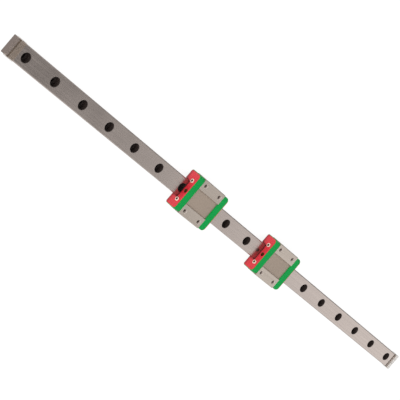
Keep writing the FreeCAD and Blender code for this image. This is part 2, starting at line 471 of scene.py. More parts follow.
class Bench:
    """Adds and wires nodes in one node tree.

    A Mix node has inputs of one name for several kinds of value, so its sockets are taken by number.
    """

    def __init__(self, tree: bpy.types.NodeTree) -> None:
        """Work on a tree."""
        self.tree = tree

    def add(self, kind: str, **settings: object) -> bpy.types.Node:
        """Add a node.

        Args:
            kind: node type.
            settings: properties to set on it.

        Returns:
            The node.
        """
        node = self.tree.nodes.new(kind)
        for key, value in settings.items():
            setattr(node, key, value)
        return node

    def feed(self, target: bpy.types.NodeSocket, source: object) -> None:
        """Link a socket to another, or set its constant.

        Args:
            target: socket to feed.
            source: another node's socket, or a constant.
        """
        if isinstance(source, bpy.types.NodeSocket):
            self.tree.links.new(source, target)
        else:
            target.default_value = source

    def wire(self, kind: str, sources: dict[int | str, object], **settings: object) -> bpy.types.Node:
        """Add a node and feed its inputs.

        Args:
            kind: node type.
            sources: sockets or constants by an input's number or name.
            settings: properties to set on it.

        Returns:
            The node.
        """
        node = self.add(kind, **settings)
        for key, source in sources.items():
            self.feed(node.inputs[key], source)
        return node

    def math(self, operation: str, first: object, second: object = 0.0) -> bpy.types.NodeSocket:
        """A Math node's result."""
        return self.wire("ShaderNodeMath", {0: first, 1: second}, operation=operation).outputs[0]

    def vector(self, operation: str, first: object, second: object) -> bpy.types.Node:
        """A Vector Math node."""
        return self.wire("ShaderNodeVectorMath", {0: first, 1: second}, operation=operation)

    def parts(self, vector: object) -> bpy.types.Node:
        """A node that gives a vector's X, Y and Z."""
        return self.wire("ShaderNodeSeparateXYZ", {0: vector})

    def spread(self, value: object, span: Range, to: tuple[object, object] = UNIT) -> bpy.types.NodeSocket:
        """A value mapped from one range to another, held at its ends."""
        sources = dict(enumerate((value, *span, *to)))
        return self.wire("ShaderNodeMapRange", sources, clamp=True).outputs[0]

    def vary(self, share: object, span: Range) -> bpy.types.NodeSocket:
        """A value that varies over a range with a share of 0 to 1."""
        return self.spread(share, UNIT, span)

    def blend(self, share: object, first: object, second: object, way: str = "MIX") -> bpy.types.NodeSocket:
        """Two colours mixed."""
        sources = {0: share, 6: first, 7: second}
        return self.wire("ShaderNodeMix", sources, data_type="RGBA", blend_type=way).outputs[2]

    def shade(self, colour: object, factor: object) -> bpy.types.NodeSocket:
        """A colour made darker or lighter by a factor."""
        return self.blend(1.0, colour, factor, "MULTIPLY")

    def fade(self, share: object, first: object, second: object) -> bpy.types.NodeSocket:
        """Two values mixed."""
        return self.wire("ShaderNodeMix", {0: share, 2: first, 3: second}, data_type="FLOAT").outputs[0]

    def noise(self, vector: object, scale: object, detail: float) -> bpy.types.NodeSocket:
        """A noise value of about 0 to 1."""
        sources = {"Vector": vector, "Scale": scale, "Detail": detail}
        return self.wire("ShaderNodeTexNoise", sources).outputs[0]

    def group(self, tree: bpy.types.NodeTree, **inputs: object) -> bpy.types.Node:
        """Place a node group, with underscores for the spaces in its inputs' names."""
        sources = {key.replace("_", " "): source for key, source in inputs.items()}
        return self.wire("ShaderNodeGroup", sources, node_tree=tree)


@dataclass
class Effects:
    """Shader node groups that several finishes share, with the ranges that shape their masks."""

    guideway: Guideway
    wear_samples: int = 6
    wear_lean: Range = (0.99, 0.80)
    wear_patches: Range = (0.35, 0.65)
    least_wear: float = 0.35
    noise_reach: Range = (0.3, 0.7)
    streak_scale: float = 0.17
    smudge_reach: Range = (0.32, 0.68)
    speck_reach: Range = (0.72, 0.80)
    foot_shade_heights: Range = (3.0, 5.6)  # millimetres; the painted shade of the foot fades out between these heights
    lip_shade_width: float = 1.0  # millimetres; width of the painted shade round the rail's opening

    def __post_init__(self) -> None:
        """Build the groups."""
        self.edge_wear = self.build_edge_wear()
        self.ground_lines = self.build_ground_lines()
        self.moulded_grain = self.build_moulded_grain()
        self.handling = self.build_handling()
        self.oil_creep = self.build_foot_and_lip_shade()

    @staticmethod
    def start(
        name: str, inputs: dict[str, str], outputs: dict[str, str]
    ) -> tuple[Bench, bpy.types.Node, bpy.types.Node]:
        """Open a group.

        Args:
            name: name of the group.
            inputs: socket types by input name.
            outputs: socket types by output name.

        Returns:
            A bench on the group's tree, its input node and its output node.
        """
        tree = bpy.data.node_groups.new(name, "ShaderNodeTree")
        for way, sockets in (("INPUT", inputs), ("OUTPUT", outputs)):
            for label, kind in sockets.items():
                tree.interface.new_socket(name=label, in_out=way, socket_type="NodeSocket" + kind)
        bench = Bench(tree)
        return bench, bench.add("NodeGroupInput"), bench.add("NodeGroupOutput")

    def build_edge_wear(self) -> bpy.types.NodeTree:
        """Mask of rubbed edges: where a rounded normal leaves the true one, broken up by noise.

        Returns:
            The group.
        """
        inputs = {"Vector": "Vector", "Width": "Float", "Break Up": "Float"}
        bench, given, result = self.start("edge_wear", inputs, {"Edge": "Float"})
        radius = {"Radius": given.outputs["Width"]}
        rounded = bench.wire("ShaderNodeBevel", radius, samples=self.wear_samples).outputs["Normal"]
        true = bench.add("ShaderNodeNewGeometry").outputs["Normal"]
        lean = bench.vector("DOT_PRODUCT", rounded, true).outputs["Value"]
        edge = bench.spread(lean, self.wear_lean)
        patches = bench.noise(given.outputs["Vector"], given.outputs["Break Up"], detail=3.0)
        kept = bench.spread(patches, self.wear_patches, (self.least_wear, 1.0))
        bench.feed(result.inputs["Edge"], bench.math("MULTIPLY", edge, kept))
        return bench.tree

    def build_ground_lines(self) -> bpy.types.NodeTree:
        """Fine grinding lines along X.

        Returns:
            The group.
        """
        inputs = {"Vector": "Vector", "Along": "Float", "Across": "Float"}
        outputs = {"Lines": "Float", "Streaks": "Float"}
        bench, given, result = self.start("ground_lines", inputs, outputs)
        along, across = given.outputs["Along"], given.outputs["Across"]
        stretch = bench.wire("ShaderNodeCombineXYZ", {0: along, 1: across, 2: across})
        drawn = bench.vector("MULTIPLY", given.outputs["Vector"], stretch.outputs[0]).outputs[0]
        fine = bench.noise(drawn, scale=1.0, detail=4.0)
        broad = bench.noise(drawn, scale=self.streak_scale, detail=1.0)
        bench.feed(result.inputs["Lines"], bench.spread(fine, self.noise_reach))
        bench.feed(result.inputs["Streaks"], bench.spread(broad, self.noise_reach))
        return bench.tree

    def build_moulded_grain(self) -> bpy.types.NodeTree:
        """Fine texture and slow flow marks of moulded plastic.

        Returns:
            The group.
        """
        inputs = {"Vector": "Vector", "Grain Scale": "Float", "Flow Scale": "Float"}
        bench, given, result = self.start("moulded_grain", inputs, {"Grain": "Float", "Flow": "Float"})
        grain = bench.noise(given.outputs["Vector"], given.outputs["Grain Scale"], detail=3.0)
        flow = bench.noise(given.outputs["Vector"], given.outputs["Flow Scale"], detail=1.5)
        bench.feed(result.inputs["Grain"], bench.spread(grain, self.noise_reach))
        bench.feed(result.inputs["Flow"], bench.spread(flow, self.noise_reach))
        return bench.tree

    def build_handling(self) -> bpy.types.NodeTree:
        """Slow smudges of oil film and handling, with a scatter of dust specks.

        Returns:
            The group.
        """
        inputs = {"Vector": "Vector", "Smudge Scale": "Float", "Speck Scale": "Float"}
        bench, given, result = self.start("handling", inputs, {"Smudge": "Float", "Specks": "Float"})
        smudge = bench.noise(given.outputs["Vector"], given.outputs["Smudge Scale"], detail=3.0)
        speck = bench.noise(given.outputs["Vector"], given.outputs["Speck Scale"], detail=0.0)
        bench.feed(result.inputs["Smudge"], bench.spread(smudge, self.smudge_reach))
        bench.feed(result.inputs["Specks"], bench.spread(speck, self.speck_reach))
        return bench.tree

    def build_foot_and_lip_shade(self) -> bpy.types.NodeTree:
        """Painted shade on a carriage's end, along its foot and round the rail's opening.

        Returns:
            The group.
        """
        inputs = {"Vector": "Vector", "Foot": "Float", "Lip": "Float"}
        bench, given, result = self.start("oil_creep", inputs, {"Shade": "Float"})
        place = bench.parts(given.outputs["Vector"])
        heights = tuple(height * MM for height in self.foot_shade_heights)
        foot = bench.spread(place.outputs["Z"], heights, (given.outputs["Foot"], 1.0))
        half = (self.guideway.half_width + SEAL_GAP) * MM
        top = (self.guideway.top + SEAL_GAP) * MM
        beside = bench.math("SUBTRACT", bench.math("ABSOLUTE", place.outputs["Y"]), half)
        above = bench.math("SUBTRACT", place.outputs["Z"], top)
        away = bench.math("MAXIMUM", beside, above)
        lip = bench.spread(away, (0.0, self.lip_shade_width * MM), (given.outputs["Lip"], 1.0))
        bench.feed(result.inputs["Shade"], bench.math("MULTIPLY", foot, lip))
        return bench.tree


@dataclass(frozen=True)
class Finish:
    """What every finish has: a name and a way to open its material. Widths and depths are millimetres."""

    name: str

    def material(self, effects: Effects) -> bpy.types.Material:
        """Build the material, which each finish does in its own way."""
        raise NotImplementedError

    def open(self) -> tuple[bpy.types.Material, Bench, bpy.types.Node, bpy.types.NodeSocket]:
        """Open the material.

        Returns:
            The material, a bench on its tree, its shader and its Object coordinates.
        """
        material = bpy.data.materials.new(self.name)
        material.use_nodes = True
        bench = Bench(material.node_tree)
        shader = material.node_tree.nodes["Principled BSDF"]
        place = bench.add("ShaderNodeTexCoord").outputs["Object"]
        return material, bench, shader, place

    @staticmethod
    def zone(bench: Bench, zone: Zone) -> bpy.types.NodeSocket:
        """The mask of a zone."""
        return bench.add("ShaderNodeAttribute", attribute_name=zone.value).outputs["Fac"]

    @staticmethod
    def bump(
        bench: Bench, shader: bpy.types.Node, height: bpy.types.NodeSocket, strength: float, depth: float
    ) -> None:
        """Give the shader a bump.

        Args:
            bench: bench on the material's tree.
            shader: shader that takes the normal.
            height: height of 0 to 1.
            strength: share of the bump.
            depth: depth of a height of 1.
        """
        sources = {"Strength": strength, "Distance": depth * MM, "Height": height}
        bench.feed(shader.inputs["Normal"], bench.wire("ShaderNodeBump", sources).outputs["Normal"])


@dataclass(frozen=True)
class PlainSkin:
    """Steel between the ground faces: its colour, roughness, share of bare metal and grain."""

    colour: Colour
    roughness: float
    metal: float
    grain_shade: Range = (0.88, 1.08)


@dataclass(frozen=True)
class ZoneColouring:
    """Steel coloured another way in a zone, where it is cut differently or where light and shade are
    painted on it. Roughness and metal are None where they stay as around it.
    """

    zone: Zone
    colour: Colour
    roughness: float | None = None
    metal: float | None = None


@dataclass(frozen=True)
class GroundSteel(Finish):
    """Bearing steel: ground all over, or on its pads alone where a plain skin is given."""

    ground: Colour
    edge: Colour
    roughness: Range
    zones: tuple[ZoneColouring, ...]
    plain: PlainSkin | None = None
    line_shade: Range = (0.92, 1.03)
    smudge_shade: Range = (0.96, 1.03)
    film_roughness: Range = (-0.02, 0.02)
    edge_width: float = 0.12
    edge_share: float = 0.35
    bump_strength: float = 0.25
    bump_depth: float = 0.01

    def material(self, effects: Effects) -> bpy.types.Material:
        """Build the material.

        Args:
            effects: shared node groups.

        Returns:
            The material.
        """
        material, bench, shader, place = self.open()
        lines = bench.group(effects.ground_lines, Vector=place, Along=60.0, Across=9000.0)
        touch = bench.group(effects.handling, Vector=place, Smudge_Scale=55.0)
        wear = bench.group(effects.edge_wear, Vector=place, Width=self.edge_width * MM, Break_Up=350.0)

        drawn = bench.vary(lines.outputs["Lines"], self.line_shade)
        smudge = bench.vary(touch.outputs["Smudge"], self.smudge_shade)
        colour = bench.shade(self.ground, bench.math("MULTIPLY", drawn, smudge))
        rough = bench.vary(lines.outputs["Streaks"], self.roughness)
        relief = lines.outputs["Lines"]
        metal = 1.0
        if self.plain is not None:
            pad = self.zone(bench, Zone.PAD)
            grain = bench.group(effects.moulded_grain, Vector=place, Grain_Scale=5200.0)
            speckle = bench.vary(grain.outputs["Grain"], self.plain.grain_shade)
            plain = bench.shade(self.plain.colour, bench.math("MULTIPLY", speckle, smudge))
            colour = bench.blend(pad, plain, colour)
            rough = bench.fade(pad, self.plain.roughness, rough)
            relief = bench.fade(pad, grain.outputs["Grain"], relief)
            metal = bench.fade(pad, self.plain.metal, metal)

        edge = bench.math("MULTIPLY", wear.outputs["Edge"], self.edge_share)
        colour = bench.blend(edge, colour, self.edge)
        film = bench.vary(touch.outputs["Smudge"], self.film_roughness)
        rough = bench.math("ADD", rough, film)
        for zoned in self.zones:
            mask = self.zone(bench, zoned.zone)
            colour = bench.blend(mask, colour, zoned.colour)
            if zoned.roughness is not None:
                rough = bench.fade(mask, rough, zoned.roughness)
            if zoned.metal is not None:
                metal = bench.fade(mask, metal, zoned.metal)
        bench.feed(shader.inputs["Base Color"], colour)
        bench.feed(shader.inputs["Roughness"], rough)
        bench.feed(shader.inputs["Metallic"], metal)
        self.bump(bench, shader, relief, self.bump_strength, self.bump_depth)
        return material


@dataclass(frozen=True)
class MouldedPlastic(Finish):
    """Coloured moulded plastic with a fine grain, paler rubbed edges, and painted shade along its foot and
    round the rail's opening.
    """

    colour: Colour
    deep: Colour
    rubbed: Colour
    bore: Colour
    # foot and lip: darkness of the painted shade at the foot and round the rail's opening, 1 for none
    foot: float
    lip: float
    roughness: Range
    gloss: float
    flow_share: float = 0.55
    edge_width: float = 0.18
    edge_share: float = 0.22
    dust_share: float = 0.10
    film_roughness: Range = (-0.03, 0.05)
    bump_strength: float = 0.3
    bump_depth: float = 0.01

    def material(self, effects: Effects) -> bpy.types.Material:
        """Build the material.

        Args:
            effects: shared node groups.

        Returns:
            The material.
        """
        material, bench, shader, place = self.open()
        shader.inputs["Specular IOR Level"].default_value = self.gloss
        grain = bench.group(effects.moulded_grain, Vector=place, Grain_Scale=3200.0, Flow_Scale=130.0)
        touch = bench.group(effects.handling, Vector=place, Smudge_Scale=160.0, Speck_Scale=1400.0)
        wear = bench.group(effects.edge_wear, Vector=place, Width=self.edge_width * MM, Break_Up=500.0)
        # painted shade along the foot and round the rail's opening
        oil = bench.group(effects.oil_creep, Vector=place, Foot=self.foot, Lip=self.lip)
        flow = bench.math("MULTIPLY", grain.outputs["Flow"], self.flow_share)
        edge = bench.math("MULTIPLY", wear.outputs["Edge"], self.edge_share)
        dust = bench.math("MULTIPLY", touch.outputs["Specks"], self.dust_share)
        colour = bench.blend(flow, self.colour, self.deep)
        colour = bench.blend(edge, colour, self.rubbed)
        colour = bench.blend(dust, colour, self.rubbed)
        colour = bench.shade(colour, oil.outputs["Shade"])
        bench.feed(shader.inputs["Base Color"], bench.blend(self.zone(bench, Zone.BORE), colour, self.bore))
        rough = bench.vary(grain.outputs["Grain"], self.roughness)
        film = bench.vary(touch.outputs["Smudge"], self.film_roughness)
        bench.feed(shader.inputs["Roughness"], bench.math("ADD", rough, film))
        self.bump(bench, shader, grain.outputs["Grain"], self.bump_strength, self.bump_depth)
        return material


@dataclass(frozen=True)
class BrightScrew(Finish):
    """Plated screw steel, painted near white and part matt as a painted highlight, with painted shade in
    its socket.
    """

    colour: Colour
    socket: Colour
    metal: float
    plating_shade: Range = (0.92, 1.05)
    roughness: Range = (0.18, 0.30)
    socket_roughness: float = 0.55
    bump_strength: float = 0.2
    bump_depth: float = 0.005

    def material(self, effects: Effects) -> bpy.types.Material:
        """Build the material.

        Args:
            effects: shared node groups.

        Returns:
            The material.
        """
        material, bench, shader, place = self.open()
        grain = bench.group(effects.moulded_grain, Vector=place, Grain_Scale=9000.0, Flow_Scale=900.0)
        bore = self.zone(bench, Zone.BORE)
        plated = bench.shade(self.colour, bench.vary(grain.outputs["Flow"], self.plating_shade))
        # painted shade in the socket; the near-white, part-matt plating stands in for the highlight
        bench.feed(shader.inputs["Base Color"], bench.blend(bore, plated, self.socket))
        bench.feed(shader.inputs["Metallic"], bench.fade(bore, self.metal, 0.0))
        rough = bench.vary(grain.outputs["Grain"], self.roughness)
        bench.feed(shader.inputs["Roughness"], bench.fade(bore, rough, self.socket_roughness))
        self.bump(bench, shader, grain.outputs["Grain"], self.bump_strength, self.bump_depth)
        return material


@dataclass(frozen=True)
class ClearPlastic(Finish):
    """Clear moulded plastic with a faint warm tint, denser along its edges, dark in bands of painted shade,
    and fainter in flat panes.
    """

    tint: Colour
    edge_and_shade_tint: Colour
    veil: float
    edge_and_shade_veil: float
    edge_share: float
    pane_share: float
    roughness: Range
    ior: float
    edge_width: float = 0.2
    flow_veil: Range = (0.92, 1.08)
    bump_strength: float = 0.2
    bump_depth: float = 0.02

    def material(self, effects: Effects) -> bpy.types.Material:
        """Build the material.

        Args:
            effects: shared node groups.

        Returns:
            The material.
        """
        material, bench, shader, place = self.open()
        shader.inputs["IOR"].default_value = self.ior
        flow = bench.group(effects.moulded_grain, Vector=place, Flow_Scale=260.0).outputs["Flow"]
        wear = bench.group(effects.edge_wear, Vector=place, Width=self.edge_width * MM, Break_Up=600.0)
        edge = bench.math("MULTIPLY", wear.outputs["Edge"], self.edge_share)
        # the rim zone adds bands of painted shade, dark and dense, to the edges
        edge = bench.math("MAXIMUM", edge, self.zone(bench, Zone.RIM))
        bench.feed(shader.inputs["Base Color"], bench.blend(edge, self.tint, self.edge_and_shade_tint))
        veil = bench.fade(edge, self.veil, self.edge_and_shade_veil)
        clear = bench.vary(self.zone(bench, Zone.PANE), (1.0, self.pane_share))
        veil = bench.math("MULTIPLY", veil, clear)
        bench.feed(shader.inputs["Alpha"], bench.math("MULTIPLY", veil, bench.vary(flow, self.flow_veil)))
        bench.feed(shader.inputs["Roughness"], bench.vary(flow, self.roughness))
        self.bump(bench, shader, flow, self.bump_strength, self.bump_depth)
        return material


@dataclass
class Finishes:
    """One material for each slot."""

    effects: Effects
    bore_roughness: float = 0.6
    sawn_roughness: float = 0.5
    materials: dict[Slot, bpy.types.Material] = field(default_factory=dict)

    def mix(self) -> None:
        """Build every material."""
        recipes: dict[Slot, Finish] = {
            Slot.RAIL: GroundSteel(
                "ground_rail_steel",
                ground=tone(172, 161, 155),
                edge=tone(102, 95, 91),
                roughness=(0.21, 0.29),
                zones=(
                    ZoneColouring(Zone.SAWN, tone(134, 122, 116), self.sawn_roughness),
                    ZoneColouring(Zone.BORE, tone(54, 45, 42), self.bore_roughness, metal=0.0),
                ),
            ),
            Slot.BLOCK: GroundSteel(
                "block_steel",
                ground=tone(178, 167, 157),
                edge=tone(190, 180, 172),
                roughness=(0.27, 0.35),
                zones=(
                    # bore: painted shade on the strip walls and deep in the tapped holes; rim: painted
                    # light on the countersinks and upper thread turns
                    ZoneColouring(Zone.BORE, tone(122, 106, 98), self.bore_roughness, metal=0.0),
                    ZoneColouring(Zone.RIM, tone(210, 197, 188), metal=0.0),
                ),
                plain=PlainSkin(tone(168, 152, 138), roughness=0.58, metal=0.4),
            ),
            Slot.CAP: MouldedPlastic(
                "green_cap_plastic",
                colour=tone(12, 164, 76),
                deep=tone(8, 148, 66),
                rubbed=tone(120, 205, 150),
                bore=tone(112, 58, 28),
                # foot and lip set the painted shade along the foot and round the rail's opening
                foot=0.9,
                lip=0.8,
                roughness=(0.44, 0.53),
                gloss=0.12,
            ),
            Slot.SEAL: MouldedPlastic(
                "red_seal_plastic",
                colour=tone(236, 54, 68),
                deep=tone(226, 46, 57),
                rubbed=tone(240, 120, 128),
                bore=tone(104, 48, 24),
                # foot and lip set the painted shade along the foot and round the rail's opening
                foot=0.40,
                lip=0.35,
                roughness=(0.30, 0.39),
                gloss=0.5,
            ),
            # near-white colour and part metal stand in for the head's highlight; the socket colour is
            # painted shade
            Slot.SCREW: BrightScrew(
                "plated_screw_steel", colour=tone(255, 232, 214), socket=tone(94, 66, 40), metal=0.55
            ),
            Slot.STOP: ClearPlastic(
                "clear_stop_plastic",
                tint=tone(176, 158, 141),
                # edge tint and veil: dense dark edges and the bands of painted shade
                edge_and_shade_tint=tone(94, 78, 64),
                veil=0.24,
                edge_and_shade_veil=0.85,
                edge_share=0.3,
                pane_share=0.15,
                roughness=(0.19, 0.28),
                ior=1.5,
            ),
        }
        self.materials = {slot: finish.material(self.effects) for slot, finish in recipes.items()}


@dataclass
class Rail:
    """The ground steel rail with its row of counterbored bolt holes."""

    guideway: Guideway
    node: str = "rail"
    body: str = "rail"
    hole_pitch: float = 25.0
    end_margin: float = 10.0
    head_bore_radius: float = 3.0
    head_bore_depth: float = 4.5
    bolt_hole_radius: float = 1.75
    hole_steps: int = 48
    mouth_chamfer: float = 0.2
    base_chamfer: float = 0.3
    end_chamfer: float = 0.2
    edge_blunting: float = 0.15

    def hole_places(self, box: NodeBox) -> list[float]:
        """Places of the hole centres along X.

        Args:
            box: the rail's box.

        Returns:
            The places.
        """
        count = round((box.size.x - 2 * self.end_margin) / self.hole_pitch) + 1
        first = box.low.x + self.end_margin
        return [first + index * self.hole_pitch for index in range(count)]

    def build(self) -> Workpiece:
        """Shape the rail.

        Returns:
            The workpiece.
        """
        box = NodeBox.of(self.node)
        work = Workpiece()
        half = self.guideway.half_width
        pen = work.pen(box.low.x, (0.0, box.low.z))
        pen.line((half - self.base_chamfer, box.low.z), (half, box.low.z + self.base_chamfer))
        self.guideway.rail_flank(pen, 0.0, self.edge_blunting)
        work.extrude([work.close_mirrored()], box.size.x * ALONG)
        for x in (box.low.x, box.high.x):
            ends = work.edges_where(lambda co: abs(co.x - x) < MERGE)
            work.bevel(ends, self.end_chamfer)
            work.mark(work.faces_where(lambda co: abs(co.x - x) < self.end_chamfer + MERGE), Zone.SAWN)
        self.drill(work, box)
        return work

    def drill(self, work: Workpiece, box: NodeBox) -> None:
        """Drill and counterbore the bolt holes.

        Args:
            work: the shaped rail.
            box: the rail's box.
        """
        depth = box.size.z
        chamfer = self.mouth_chamfer
        rims = {}
        for height, radius in ((box.high.z, self.head_bore_radius), (box.low.z, self.bolt_hole_radius)):
            faces = work.faces_where(lambda co: abs(co.z - height) < MERGE)
            centres = [Vector((x, 0, height)) for x in self.hole_places(box)]
            rims[height] = work.pierce(faces, centres, radius + chamfer, UP, self.hole_steps)
        strokes = [
            (self.head_bore_radius, chamfer),
            (self.head_bore_radius, self.head_bore_depth),
            (self.bolt_hole_radius, self.head_bore_depth),
            (self.bolt_hole_radius, depth - chamfer),
            (self.bolt_hole_radius + chamfer, depth),
        ]
        for rim in rims[box.high.z]:
            work.sink(rim, -UP, strokes, Zone.BORE)

    def dress(self, finishes: Finishes) -> None:
        """Build the rail and set it in the frame."""
        self.build().hand_over(self.node, self.body, Slot.RAIL, finishes.materials[Slot.RAIL])


@dataclass
class EndStop:
    """A clear stop snapped over one end of the rail and hooked into its raceways."""

    guideway: Guideway
    node: str
    end: End
    body: str = "rail"
    wall: float = 0.4
    rail_gap: float = 0.05
    corner_radius: float = 0.9
    corner_steps: int = 6
    edge_round: float = 0.12
    round_steps: int = 2
    seat_room: float = 0.04
    # bands of painted shade on the edges towards -X, and the share of painted shadow past the rail's end
    wall_band: float = 0.7
    wall_band_drop: float = 0.65
    mouth_band: float = 0.06
    painted_gap_shadow: float = 0.16

    def build(self) -> Workpiece:
        """Shape the stop.

        Returns:
            The workpiece.
        """
        box = NodeBox.of(self.node)
        sign = self.end.value
        _, outer = box.span(self.end)
        wall = self.wall - self.seat_room
        inner = outer - sign * wall
        half = box.high.y
        foot = box.low.z
        corner = self.corner_radius
        pocket_half = self.guideway.half_width + self.rail_gap
        roof = self.guideway.top + self.rail_gap
        work = Workpiece()
        self.hook_flank(work.pen(inner, (pocket_half, foot)))
        outline = work.pen(inner, (pocket_half, foot))
        outline.line((half, foot), (half, box.high.z - corner))
        outline.arc((half - corner, box.high.z - corner), math.pi / 2, self.corner_steps)
        outline.line((0.0, box.high.z))
        shell = work.close_mirrored()
        # The end wall is the section of the shell and that of the pocket, drawn outwards as one face.
        mouth = work.edges_where(lambda co: abs(co.y) < pocket_half + MERGE and co.z < roof + MERGE)
        mouth = [edge for edge in mouth if any(vert.co.z > foot + MERGE for vert in edge.verts)]
        pocket = bmesh.ops.contextual_create(work.bm, geom=mouth)["faces"][0]
        end_wall = work.extrude([shell, pocket], sign * wall * ALONG)
        bmesh.ops.dissolve_faces(work.bm, faces=end_wall)
        # The shell alone runs from that wall back over the rail.
        walls = work.faces_where(lambda co: abs(co.x - inner) < MERGE)
        shell = max(walls, key=lambda face: max(abs(vert.co.y) for vert in face.verts))
        work.extrude([shell], sign * (wall - box.size.x) * ALONG)
        bmesh.ops.delete(work.bm, geom=[shell], context="FACES_ONLY")
        work.turn_outwards()
        crown = work.edges_where(lambda co: abs(co.x - outer) < MERGE)
        work.bevel(crown, self.edge_round, self.round_steps)
        self.mark_painted_shade(work, box)
        return work

    def mark_painted_shade(self, work: Workpiece, box: NodeBox) -> None:
        """Mark the painted shade of the plastic: dark bands on the edges towards -X and, at the rear, a
        faint shadow past the rail's end; and mark its clear end wall.

        Args:
            work: the shaped stop.
            box: the stop's box.
        """
        front = self.end is End.FRONT
        edge_x = box.low.x + (self.wall_band if front else self.mouth_band)
        edge_y = self.guideway.half_width
        edge_z = box.high.z - (self.wall_band_drop if front else self.wall)
        work.score(ALONG, edge_x)
        work.score(UP, edge_z)
        for y in (-edge_y, edge_y):
            work.score(ACROSS, y)
        # painted shade: dark bands along the edges towards -X
        corner = Vector((edge_x + MERGE, edge_y + MERGE, edge_z - MERGE))
        band = work.faces_where(lambda co: co.x < corner.x and abs(co.y) < corner.y and co.z > corner.z)
        work.mark(band, Zone.RIM)
        _, outer = box.span(self.end)
        end_wall = work.faces_where(lambda co: abs(co.x - outer) < self.wall and abs(co.y) < corner.y)
        pane = [face for face in end_wall if all(vert.co.z < edge_z + MERGE for vert in face.verts)]
        work.mark(pane, Zone.PANE)
        # a faint painted shadow past the rail's end, for the shaded gap seen through the plastic
        if not front:
            past = NodeBox.of(self.body).high.x
            work.score(ALONG, past)
            work.mark(work.faces_where(lambda co: co.x > past - MERGE), Zone.RIM, self.painted_gap_shadow)

    def hook_flank(self, pen: Pen) -> None:
        """Draw the pocket's flank, which starts part way up the raceway's hook.

        Args:
            pen: pen at the foot of the flank.
        """
        guideway = self.guideway
        half = guideway.half_width + self.rail_gap
        radius = guideway.raceway_radius - self.rail_gap
        foot = pen.tip.co.z
        offset = guideway.raceway_offset
        drop = guideway.ball_height - foot
        start_y = offset - math.sqrt(radius**2 - drop**2)
        rise = math.sqrt(radius**2 - (offset - half) ** 2)
        start = math.atan2(-drop, start_y - offset)
        finish = math.atan2(rise, half - offset)
        pen.line((start_y, foot))
        pen.arc((offset, guideway.ball_height), finish - start - 2 * math.pi, guideway.arc_steps)
        top = guideway.top + self.rail_gap
        corner = guideway.grown_chamfer(self.rail_gap)
        pen.line((half, top - corner), (half - corner, top), (0.0, top))

    def dress(self, finishes: Finishes) -> None:
        """Build the stop and set it in the frame."""
        self.build().hand_over(self.node, self.body, Slot.STOP, finishes.materials[Slot.STOP])


